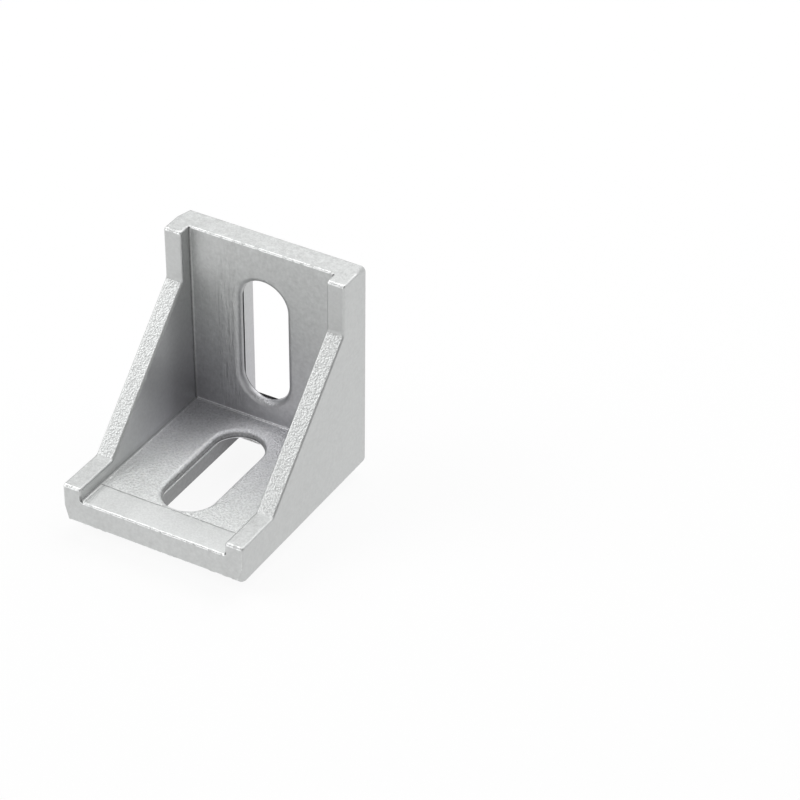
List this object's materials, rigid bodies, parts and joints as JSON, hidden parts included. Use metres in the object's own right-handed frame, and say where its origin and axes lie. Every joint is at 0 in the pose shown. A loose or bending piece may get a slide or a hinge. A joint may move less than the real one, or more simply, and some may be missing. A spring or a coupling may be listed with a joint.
{
  "type": "t slot corner bracket",
  "caption": "Die-cast inside-corner bracket that joins slotted square profile at a right angle, with gusseted sides, a bolt slot in each leg and locating lugs.",
  "frame": {"origin": "outer corner, where the planes of the two mating faces meet, at the middle of the width", "axes": "+X along the lying leg to its free end, +Z along the standing leg to its free end, +Y across the width; the lying leg's mating face is on z = 0 and the standing leg's is on x = 0"},
  "size_m": [0.0423, 0.0356, 0.0423],
  "materials": {
    "cast_aluminium": "fine blasted die casting, light silver grey, unpainted"
  },
  "bodies": {
    "root": {"corner_bracket": "cast_aluminium"}
  },
  "joints": []
}
